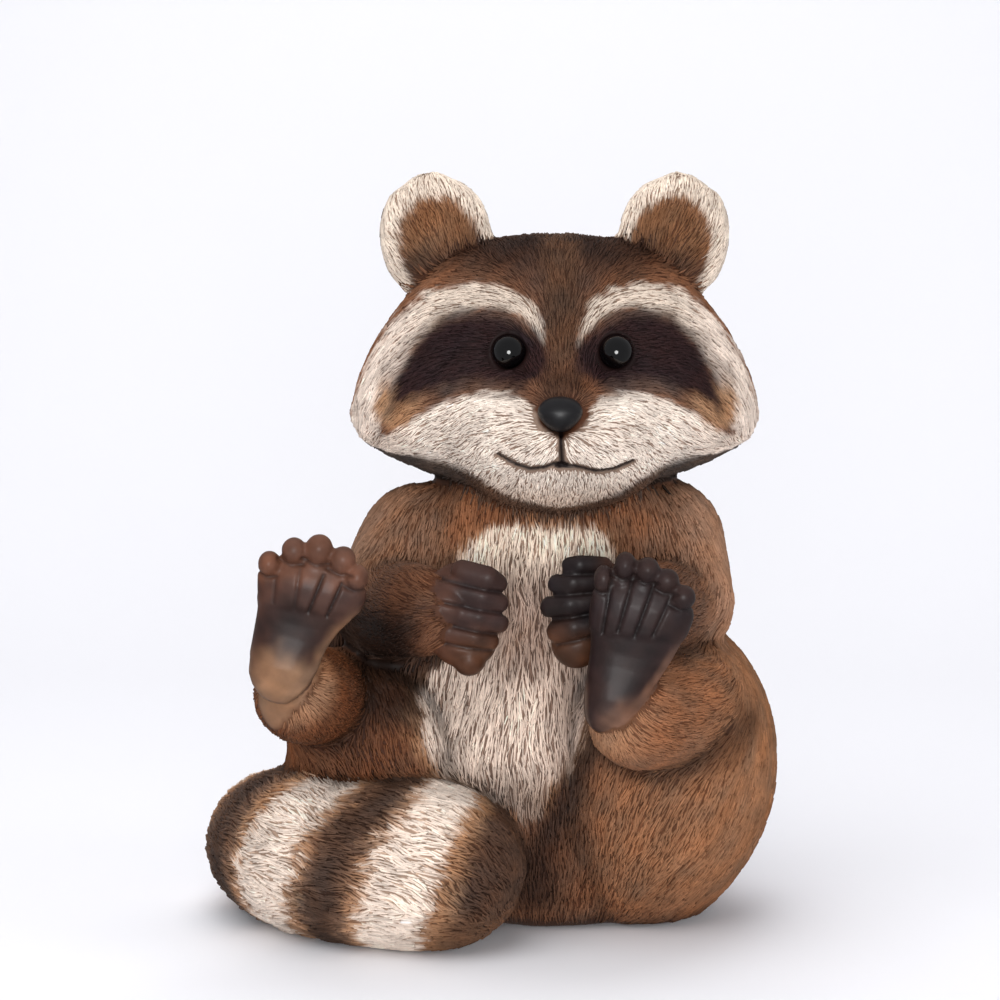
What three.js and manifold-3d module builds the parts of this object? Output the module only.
// A cast and painted resin figurine of a sitting raccoon: hands curled in front of the chest, both
// feet raised with the soles to the front, the ringed tail brought round to the front.
// Millimetres, +Z up, the face looks along -Y, and the figurine sits on Z = 0. "left" and "right"
// are the animal's own, so its left side is at +X. The legs and the tail swing a little to its right.
import * as THREE from "three";
import { mergeVertices } from "three/addons/utils/BufferGeometryUtils.js";
import Module from "manifold-3d";

const wasm = await Module();
wasm.setup();

// ---- driving dimensions -------------------------------------------------------------------------
const GAP = 0.3; // clearance where two castings meet
const HEAD = {
  x: 12.2, y: 0, z: 244, halfWidth: 103, front: 62, back: 68, crown: 104, top: 99.5, jaw: 36.5,
};
const MUZZLE = { y: -54, z: 243, halfWidth: 42, reach: 42, halfHeight: 27 };
const EYE = { middle: 2.7, spread: 25.7, y: -54, z: 284.9, radius: 8.6 };
const NOSE = { y: -93, z: 258, halfWidth: 9.8, halfHeight: 7 };
const EAR = { spread: 59.2, y: 4, z: 338.5, halfWidth: 30, halfHeight: 34.5, halfDepth: 11 };
const SEAT = { z: 74, halfWidth: 86, halfDepth: 82, halfHeight: 82 };
const CHEST = { z: 158, halfWidth: 66, halfDepth: 56, halfHeight: 68 };
const FLANK = { x: -67, y: 4, z: 142, radius: 43 }; // under the right arm
const NECK = { z: 203, halfWidth: 66, halfDepth: 50, halfHeight: 34, joint: 190 };
const ARM_RADIUS = { shoulder: 33, elbow: 27, wrist: 22 };
const TAIL = { root: 22, bend: 32, front: 42, tip: 34, sunk: 2.5, tipLift: 8 };
const FINGER = { radius: 5.3, pitch: 9.8 };

const at = (x, y, z) => new THREE.Vector3(x, y, z);

// ---- forms as signed distances ------------------------------------------------------------------
// An ellipsoid; turn holds its rotations in degrees about X, Y and Z.
function ball(centre, radii, turn = [0, 0, 0]) {
  const angles = turn.map(THREE.MathUtils.degToRad);
  const pose = new THREE.Matrix4().makeRotationFromEuler(new THREE.Euler(...angles));
  const toLocal = pose.setPosition(centre).invert();
  const [a, b, c] = radii;
  return (point) => {
    const p = point.clone().applyMatrix4(toLocal);
    const share = Math.hypot(p.x / a, p.y / b, p.z / c);
    const slope = Math.hypot(p.x / (a * a), p.y / (b * b), p.z / (c * c));
    return share < 1e-9 ? -Math.min(a, b, c) : (share * (share - 1)) / slope;
  };
}

// A round bar from a to b whose radius runs from ra to rb.
function bar(a, b, ra, rb) {
  const along = b.clone().sub(a);
  return (point) => {
    const p = point.clone().sub(a);
    const t = THREE.MathUtils.clamp(p.dot(along) / along.lengthSq(), 0, 1);
    return p.distanceTo(along.clone().multiplyScalar(t)) - THREE.MathUtils.lerp(ra, rb, t);
  };
}

const softMin = (k, a, b) => {
  const h = THREE.MathUtils.clamp(0.5 + (0.5 * (b - a)) / k, 0, 1);
  return THREE.MathUtils.lerp(b, a, h) - k * h * (1 - h);
};
const blend = (k, ...forms) => (p) => forms.map((form) => form(p)).reduce((a, b) => softMin(k, a, b));
const hollow = (k, form, cutter) => (p) => -softMin(k, -form(p), cutter(p));

// ---- forms as closed solids ---------------------------------------------------------------------
function solid(geometry) {
  const bare = geometry.clone();
  ["normal", "uv"].forEach((name) => bare.deleteAttribute(name));
  const merged = mergeVertices(bare, 1e-3);
  const corners = Array.from(merged.index.array);
  const triangles = [];
  for (let i = 0; i < corners.length; i += 3) {
    const [a, b, c] = corners.slice(i, i + 3);
    if (a !== b && b !== c && c !== a) triangles.push(a, b, c);
  }
  const mesh = new wasm.Mesh({
    numProp: 3,
    vertProperties: merged.attributes.position.array,
    triVerts: new Uint32Array(triangles),
  });
  return new wasm.Manifold(mesh);
}

// Draws an icosphere in from outside onto a form, along rays through its centre.
function wrap(form, centre, detail, grow = 0) {
  const sphere = new THREE.IcosahedronGeometry(1, detail);
  ["normal", "uv"].forEach((name) => sphere.deleteAttribute(name));
  const geometry = mergeVertices(sphere, 1e-4);
  const place = geometry.attributes.position;
  for (let i = 0; i < place.count; i++) {
    const ray = new THREE.Vector3().fromBufferAttribute(place, i).normalize();
    let t = 170;
    for (let step = 0; step < 80; step++) {
      t -= 0.7 * (form(ray.clone().multiplyScalar(t).add(centre)) - grow);
    }
    const p = ray.multiplyScalar(t).add(centre);
    place.setXYZ(i, p.x, p.y, p.z);
  }
  return solid(geometry);
}

// A sphere drawn out along a curve over the floor, with round ends; radius(t) is its size across.
function sausage(points, radius, sides, rings, grow = 0) {
  const curve = new THREE.CatmullRomCurve3(points);
  const length = curve.getLength();
  const geometry = new THREE.SphereGeometry(1, sides, rings);
  const place = geometry.attributes.position;
  for (let i = 0; i < place.count; i++) {
    const unit = new THREE.Vector3().fromBufferAttribute(place, i);
    const even = Math.acos(THREE.MathUtils.clamp(unit.y, -1, 1)) / Math.PI;
    const t = THREE.MathUtils.clamp(even - 0.09 * Math.sin(2 * Math.PI * even), 0, 1);
    const end = Math.min(t, 1 - t) * length;
    const r = radius(t);
    const round = end < r ? Math.sqrt(Math.max(0, 1 - (1 - end / r) ** 2)) : 1;
    const across = Math.hypot(unit.x, unit.z);
    const width = across < 1e-6 ? 0 : (round * r + grow) / across;
    const ahead = curve.getTangentAt(t);
    const height = r - TAIL.sunk + TAIL.tipLift * Math.max(0, (t - 0.8) / 0.2) ** 2;
    const p = curve.getPointAt(t).add(at(0, 0, height)).addScaledVector(ahead, grow * (2 * t - 1));
    p.add(at(-ahead.y, ahead.x, 0).multiplyScalar(width * unit.x));
    p.z += width * unit.z;
    place.setXYZ(i, p.x, p.y, p.z);
  }
  return solid(geometry);
}

const largest = (made) => made.decompose().sort((a, b) => b.volume() - a.volume())[0];
const joined = (...made) => made.reduce((a, b) => a.add(b));

// The part of a solid past or before a joint, which is a plane across it.
const past = (made, { facing, offset }, grow) => made.trimByPlane(facing.toArray(), offset + GAP / 2 - grow);
const before = (made, { facing, offset }, grow) =>
  made.trimByPlane(facing.clone().negate().toArray(), GAP / 2 - offset - grow);

// ---- head ---------------------------------------------------------------------------------------
const fromHead = (x, y, z) => at(HEAD.x + x, y, z);

// A wide rounded wedge: full crown, cheeks drawn out low down, shallow jaw.
function skull(p) {
  const x = (p.x - HEAD.x) / HEAD.halfWidth;
  const y = (p.y - HEAD.y) / (p.y < HEAD.y ? HEAD.front : HEAD.back);
  const z = (p.z - HEAD.z) / (p.z > HEAD.z ? HEAD.crown : HEAD.jaw);
  const power = p.z > HEAD.z ? 1.75 : 1.36;
  const rim = (Math.abs(x) ** power + Math.abs(z) ** power) ** (1 / power);
  const round = (Math.hypot(rim, y) - 1) * HEAD.jaw;
  return -softMin(10, -round, HEAD.z + HEAD.top - p.z);
}

const muzzle = ball(
  fromHead(0.5, MUZZLE.y, MUZZLE.z),
  [MUZZLE.halfWidth, MUZZLE.reach, MUZZLE.halfHeight],
  [-8, 0, 0],
);
const sockets = [-1, 1].map((side) =>
  ball(fromHead(side * 31, EYE.y - 13, EYE.z - 3), [26, 11, 13], [0, side * 14, side * 18]),
);
const chin = ball(fromHead(3, -45, 225), [40, 24, 14]);
const face = blend(14, blend(24, skull, muzzle), chin);
const headForm = hollow(9, hollow(9, face, sockets[0]), sockets[1]);
const head = (grow) => wrap(headForm, at(HEAD.x, HEAD.y, HEAD.z + 15), 6, grow);

const eye = (side) => (grow) => {
  const centre = fromHead(EYE.middle + side * EYE.spread, EYE.y, EYE.z);
  return wrap(ball(centre, Array(3).fill(EYE.radius)), centre, 2, grow);
};

const noseForm = blend(
  4,
  ball(fromHead(0.5, NOSE.y, NOSE.z), [NOSE.halfWidth, 9, NOSE.halfHeight]),
  ball(fromHead(0.5, NOSE.y + 1.5, NOSE.z - 6.5), [3.5, 6, 3.5]),
);
const nose = (grow) => wrap(noseForm, fromHead(0.5, NOSE.y, NOSE.z - 1), 2, grow);

// A thick round ear, dished at the front.
const ear = (side) => (grow) => {
  const centre = fromHead(side * EAR.spread, EAR.y, EAR.z);
  const turn = [-6, side * 12, side * 14];
  const disc = wrap(ball(centre, [EAR.halfWidth, EAR.halfDepth, EAR.halfHeight], turn), centre, 3, grow);
  const hollowAt = centre.clone().add(at(-side * 2, -15, -5));
  return disc.subtract(wrap(ball(hollowAt, [19.5, 12, 25], turn), hollowAt, 2, -grow));
};

// ---- trunk and neck -----------------------------------------------------------------------------
// One pear-shaped form, parted level just under the head into the trunk and the neck.
const torsoForm = blend(
  30,
  ball(at(-2, 12, SEAT.z), [SEAT.halfWidth, SEAT.halfDepth, SEAT.halfHeight]),
  ball(at(7, 10, CHEST.z), [CHEST.halfWidth, CHEST.halfDepth, CHEST.halfHeight]),
  ball(at(11, 8, NECK.z), [NECK.halfWidth, NECK.halfDepth, NECK.halfHeight]),
  ball(at(FLANK.x, FLANK.y, FLANK.z), Array(3).fill(FLANK.radius)),
  ball(at(20, 8, 27), [62, 56, 40]), // squares the foot of the body to the floor
);
const torso = (grow) => wrap(torsoForm, at(3, 12, 118), 5, grow);
const neckJoint = { facing: at(0, 0, 1), offset: NECK.joint };

// ---- arms ---------------------------------------------------------------------------------------
const ARMS = {
  right: {
    shoulder: at(-53.5, -2, 184.5), elbow: at(-70, -40, 160),
    wrist: at(-52, -84, 164), knuckles: at(-42, -96, 168),
    fingers: [[31, 4], [32, 5], [32, 6], [30, 6]], // each one's reach and how far its tip hangs
  },
  left: {
    shoulder: at(64.5, 2, 187), elbow: at(73.5, -30, 160),
    wrist: at(52, -76, 162), knuckles: at(40, -88, 168),
    fingers: [[27, 0], [31, 1], [34, 3], [31, 4]],
  },
};
const midway = (a, b, share = 0.5) => a.clone().lerp(b, share);

const upperArm = (name) => (grow) => {
  const { shoulder, elbow } = ARMS[name];
  return wrap(bar(shoulder, elbow, ARM_RADIUS.shoulder, ARM_RADIUS.elbow), midway(shoulder, elbow), 3, grow);
};
const forearm = (name) => (grow) => {
  const { elbow, wrist } = ARMS[name];
  return wrap(bar(elbow, wrist, ARM_RADIUS.elbow - 3, ARM_RADIUS.wrist), midway(elbow, wrist), 3, grow);
};

// A finger or toe from its root to the middle of its rounded end; the end swells by the given share.
const digit = (root, end, radius, swell, grow) => {
  const along = end.clone().sub(root);
  const length = along.length();
  const r = radius + grow;
  const tip = radius * swell + grow;
  const profile = [
    [0, -r], [r * 0.85, -r * 0.5], [r, length - tip * 1.1],
    [tip, length - tip * 0.1], [tip * 0.72, length + tip * 0.7], [0, length + tip],
  ].map(([across, y]) => new THREE.Vector2(across, y));
  const turn = new THREE.Quaternion().setFromUnitVectors(at(0, 1, 0), along.normalize());
  return solid(new THREE.LatheGeometry(profile, 6).applyQuaternion(turn).translate(root.x, root.y, root.z));
};

// Four fingers stacked one above the other reach inwards; the palm and the thumb lie behind them.
const hand = (name) => (grow) => {
  const { wrist, knuckles, fingers } = ARMS[name];
  const inward = name === "right" ? 1 : -1;
  const fromKnuckles = (x, y, z) => knuckles.clone().add(at(inward * x, y, z));
  const palmForm = blend(
    6,
    ball(fromKnuckles(8, 10, -1), [18, 13, 22]),
    bar(wrist, fromKnuckles(2, 8, 0), 17, 15),
    bar(fromKnuckles(2, 1, -23), fromKnuckles(19, 3, -26), 8, 6.5),
  );
  const pieces = [wrap(palmForm, fromKnuckles(6, 9, -2), 2, grow)];
  fingers.forEach(([reach, hang], i) => {
    const z = 16 - i * FINGER.pitch;
    const end = fromKnuckles(reach - FINGER.radius, -1, z - hang);
    pieces.push(digit(fromKnuckles(-1, -1, z), end, FINGER.radius, 1, grow));
  });
  return joined(...pieces);
};

// ---- legs ---------------------------------------------------------------------------------------
// Soles are balls in the plane of the foot: across, along, half width, depth, half length. Toes give
// the middle of each round tip, across and along, and its radius.
const LEGS = {
  right: {
    hip: at(-60, -2, 66), haunch: [60, 66, 68], knee: at(-101, -50, 118), ankle: at(-108, -94, 126),
    bars: [37, 24, 23.5], heel: at(-110.5, -118, 144.5), lean: 14,
    soles: [[-4, -2, 16.8, 13, 17.5], [-2.5, 14, 19, 11, 19], [0.5, 30, 24, 10.5, 19]],
    toes: [[-20.9, 44.5, 5], [-11.3, 52.9, 5.7], [-0.4, 56.4, 6.4], [11.3, 54.1, 5.9], [19.4, 47.9, 5.3]],
  },
  left: {
    hip: at(60, -4, 78), haunch: [64, 80, 78.5], knee: at(77, -58, 115), ankle: at(50, -94, 115),
    bars: [34, 28, 25], heel: at(39.5, -108, 127), lean: 13,
    soles: [[-1, -1, 14.8, 13, 16], [0, 15, 17, 11, 19], [1, 36, 23, 10.5, 20]],
    toes: [[-19.8, 54.2, 4.8], [-11.6, 62.6, 5.2], [-1.1, 62.9, 5.6], [8.8, 60.1, 5.6], [17.9, 54.3, 5.5]],
  },
};

const thigh = (name) => (grow) => {
  const { hip, haunch, knee, bars } = LEGS[name];
  const forms = [ball(hip, haunch), bar(midway(hip, knee), knee, bars[0], bars[1] - 1)];
  if (name === "left") forms.push(ball(at(50, 0, 32), [44, 46, 42])); // sits square on the floor
  return wrap(blend(24, ...forms), midway(hip, knee, 0.2), 4, grow);
};
const shank = (name) => (grow) => {
  const { knee, ankle, bars } = LEGS[name];
  return wrap(bar(knee, ankle, bars[1], bars[2]), midway(knee, ankle), 3, grow);
};

// The sole faces forward, narrow at the heel and broad at the ball, with five long round toes.
const foot = (name) => (grow) => {
  const { heel, soles, toes, lean } = LEGS[name];
  const angle = THREE.MathUtils.degToRad(lean);
  const along = at(Math.sin(angle), -0.08, Math.cos(angle));
  const across = at(Math.cos(angle), 0, -Math.sin(angle));
  const place = (u, v, w = 0) =>
    heel.clone().addScaledVector(across, u).addScaledVector(along, v).add(at(0, w, 0));
  const forms = soles.map(([u, v, wide, deep, long]) => ball(place(u, v), [wide, deep, long], [0, lean, 0]));
  const pieces = [wrap(blend(8, ...forms), place(-1, 17), 2, grow)];
  for (const [u, v, radius] of toes) {
    pieces.push(digit(place(u * 0.8, v - 23, -4), place(u, v, -6), radius * 0.9, 1.12, grow));
  }
  return joined(...pieces);
};

// ---- tail ---------------------------------------------------------------------------------------
// It leaves the back low down, goes round the animal's right side and thickens towards its blunt tip.
const tailPath = [
  [14, 78], [-50, 92], [-106, 68], [-129, 14], [-108, -38], [-62, -68], [-2, -78],
].map(([x, y]) => at(x, y, 0));
const tailRadius = (t) => {
  const thickness = [TAIL.root, TAIL.bend, TAIL.front, TAIL.front, TAIL.tip];
  const place = [0, 0.45, 0.66, 0.86, 1];
  const i = Math.max(1, place.findIndex((share) => share >= t));
  return THREE.MathUtils.lerp(thickness[i - 1], thickness[i], (t - place[i - 1]) / (place[i] - place[i - 1]));
};
const wholeTail = (grow) => sausage(tailPath, tailRadius, 16, 24, grow);

// The two joints across the tail: at the side of the body, and where it turns to the front.
const sideJoint = { facing: at(0, -1, 0), offset: -35 };
const frontJoint = { facing: at(0.85, -0.53, 0), offset: -45 };

// ---- fit the castings together ------------------------------------------------------------------
// Each casting is cut off level at the floor and cut clear of the ones named in its cutBy.
const floor = solid(new THREE.BoxGeometry(800, 800, 200).translate(0, 0, -100));
const castings = {
  eye_left: { make: eye(1), colour: "#0b0b0c" },
  eye_right: { make: eye(-1), colour: "#0b0b0c" },
  nose: { make: nose, colour: "#1c1b1c" },
  head: { make: head, cutBy: ["eye_left", "eye_right", "nose"], colour: "#8a6a4c" },
  ear_left: { make: ear(1), cutBy: ["head"], colour: "#a88763" },
  ear_right: { make: ear(-1), cutBy: ["head"], colour: "#a88763" },
  trunk: { make: (grow) => before(torso(grow), neckJoint, grow), colour: "#c9b498" },
  neck: { make: (grow) => past(torso(grow), neckJoint, grow), cutBy: ["head"], colour: "#6d4c33" },
  tail_root: {
    make: (grow) => before(wholeTail(grow), sideJoint, grow),
    cutBy: ["trunk"],
    colour: "#7a5c40",
  },
  tail_middle: {
    make: (grow) => before(past(wholeTail(grow), sideJoint, grow), frontJoint, grow),
    cutBy: ["trunk"],
    colour: "#8f6f4f",
  },
  tail_tip: {
    make: (grow) => past(past(wholeTail(grow), sideJoint, grow), frontJoint, grow),
    cutBy: ["trunk"],
    colour: "#cdb898",
  },
  thigh_left: { make: thigh("left"), cutBy: ["trunk", "tail_root", "tail_tip"], colour: "#7d5638" },
  thigh_right: {
    make: thigh("right"),
    cutBy: ["trunk", "tail_root", "tail_middle", "tail_tip"],
    colour: "#7d5638",
  },
  upper_arm_left: {
    make: upperArm("left"),
    cutBy: ["trunk", "neck", "head", "thigh_left"],
    colour: "#7a5535",
  },
  upper_arm_right: {
    make: upperArm("right"),
    cutBy: ["trunk", "neck", "head", "thigh_right"],
    colour: "#7a5535",
  },
  forearm_left: {
    make: forearm("left"),
    cutBy: ["upper_arm_left", "trunk", "thigh_left"],
    colour: "#7a5535",
  },
  forearm_right: {
    make: forearm("right"),
    cutBy: ["upper_arm_right", "trunk", "thigh_right"],
    colour: "#7a5535",
  },
  shank_left: {
    make: shank("left"),
    cutBy: ["thigh_left", "forearm_left", "upper_arm_left"],
    colour: "#82593a",
  },
  shank_right: {
    make: shank("right"),
    cutBy: ["thigh_right", "forearm_right", "tail_middle", "tail_tip"],
    colour: "#82593a",
  },
  hand_left: { make: hand("left"), cutBy: ["forearm_left", "trunk"], colour: "#2b2220" },
  hand_right: { make: hand("right"), cutBy: ["forearm_right", "trunk"], colour: "#2b2220" },
  foot_left: { make: foot("left"), cutBy: ["shank_left", "forearm_left", "hand_left"], colour: "#33261f" },
  foot_right: { make: foot("right"), cutBy: ["shank_right", "forearm_right"], colour: "#33261f" },
};

function geometryOf(made) {
  const mesh = made.getMesh();
  const geometry = new THREE.BufferGeometry();
  geometry.setAttribute("position", new THREE.BufferAttribute(new Float32Array(mesh.vertProperties), 3));
  geometry.setIndex(new THREE.BufferAttribute(mesh.triVerts, 1));
  return geometry;
}

const figurine = new THREE.Group();
for (const [name, { make, cutBy = [], colour }] of Object.entries(castings)) {
  let made = make(0).subtract(floor);
  for (const other of cutBy) made = made.subtract(castings[other].make(GAP));
  const material = new THREE.MeshStandardMaterial({ color: colour, roughness: 0.6, metalness: 0 });
  const mesh = new THREE.Mesh(geometryOf(largest(made)), material);
  mesh.name = name;
  figurine.add(mesh);
}

export default figurine;
